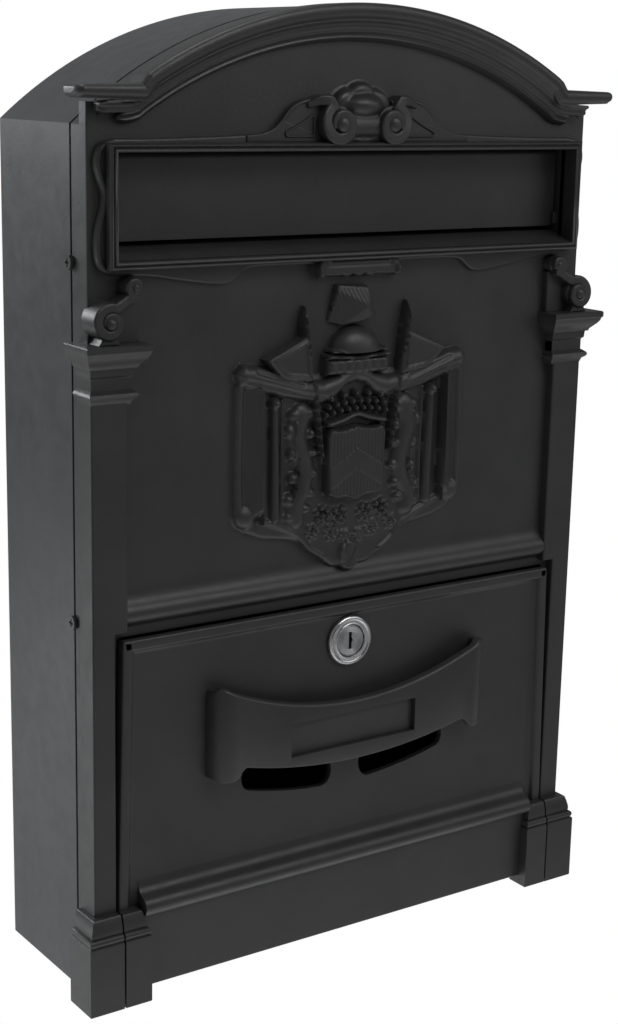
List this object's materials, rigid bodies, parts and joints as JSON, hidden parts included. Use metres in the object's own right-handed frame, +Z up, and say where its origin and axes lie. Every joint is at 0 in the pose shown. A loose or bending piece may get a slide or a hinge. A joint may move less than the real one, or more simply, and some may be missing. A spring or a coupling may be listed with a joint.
{
  "type": "wall mounted mailbox",
  "caption": "Arched wall mailbox with a cast classical front, an inward letter flap, and a drop-down locking door with a pull handle and view windows.",
  "frame": {"origin": "centre of the four wall-screw holes, on the back face of the box", "axes": "+X to the right as one faces the front, +Y into the wall, +Z up; the front faces -Y"},
  "size_m": [0.2688, 0.0872, 0.41],
  "materials": {
    "cast_powder_coat": "black satin powder coat on cast aluminium",
    "door_powder_coat": "black satin powder coat on cast aluminium",
    "sheet_powder_coat": "charcoal satin powder coat on sheet steel",
    "flap_powder_coat": "black satin powder coat on aluminium sheet",
    "black_screw": "black painted steel screws",
    "zinc_steel": "zinc plated steel",
    "black_rubber": "matt black rubber",
    "name_plate_black": "blank dark satin plate",
    "lock_chrome": "polished chrome plate with fine wear",
    "plug_nickel": "nickel plated zinc, turned face",
    "wafer_brass": "plain brass"
  },
  "bodies": {
    "root": {"front_frame": "cast_powder_coat", "wrap_shell": "sheet_powder_coat", "back_panel": "sheet_powder_coat", "floor_panel": "sheet_powder_coat", "side_screws": "black_screw", "flap_rod": "zinc_steel", "rod_clips": "zinc_steel", "flap_buffers": "black_rubber", "hinge_pins": "zinc_steel", "door_buffers": "black_rubber"},
    "flap": {"slot_flap": "flap_powder_coat"},
    "door": {"door_panel": "door_powder_coat", "pull_handle": "cast_powder_coat", "handle_screws": "zinc_steel", "name_plate": "name_plate_black", "lock_barrel": "lock_chrome", "lock_gasket": "black_rubber", "lock_washer": "zinc_steel", "lock_nut": "zinc_steel"},
    "lock": {"lock_plug": "plug_nickel", "lock_wafers": "wafer_brass", "lock_cam": "zinc_steel", "cam_washer": "zinc_steel", "cam_screw": "zinc_steel"}
  },
  "joints": [
    {"name": "door_hinge", "type": "hinge", "parent": "root", "child": "door", "pos_m": [0, -0.081, -0.1905], "axis": [1, 0, 0], "range_deg": [0, 95]},
    {"name": "flap_hinge", "type": "hinge", "parent": "root", "child": "flap", "pos_m": [0, -0.0655, 0.1534], "axis": [1, 0, 0], "range_deg": [0, 65]},
    {"name": "lock_turn", "type": "hinge", "parent": "door", "child": "lock", "pos_m": [0, -0.07, -0.0544], "axis": [0, -1, 0], "range_deg": [0, 90]}
  ]
}
